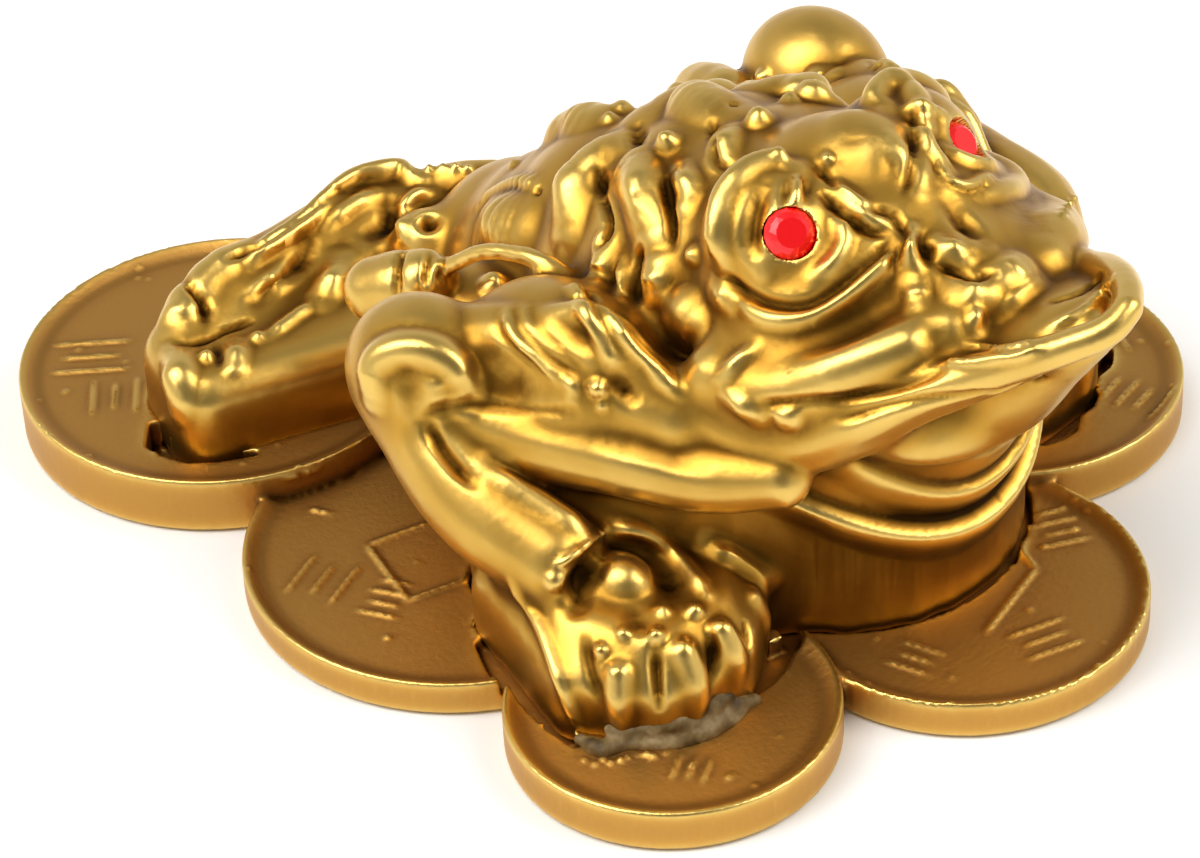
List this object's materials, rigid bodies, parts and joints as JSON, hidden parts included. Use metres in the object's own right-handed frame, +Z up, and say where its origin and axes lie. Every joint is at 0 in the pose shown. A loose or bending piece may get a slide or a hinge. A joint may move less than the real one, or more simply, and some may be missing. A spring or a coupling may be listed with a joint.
{
  "type": "money toad figure",
  "caption": "Small cast brass money toad with red glass eyes, crouching on a bed of overlapping holed coins.",
  "frame": {"origin": "middle of the bounding box on the ground under the coins", "axes": "+Z up; the toad looks along -Y, towards its lip; +X is the toad's own left"},
  "size_m": [0.0536, 0.0646, 0.0275],
  "materials": {
    "toad_brass": "cast, tumbled and lacquered, satin, with brown patina left in the recesses",
    "coin_brass": "cast, grainy dull fields with rubbed brighter rims",
    "red_glass": "cut and foil-backed, clear red",
    "glue": "squeezed-out grey-brown epoxy glue, dull"
  },
  "bodies": {
    "root": {"toad": "toad_brass", "coin_base": "coin_brass", "eye_stone_right": "red_glass", "eye_stone_left": "red_glass", "adhesive_bead": "glue"}
  },
  "joints": []
}
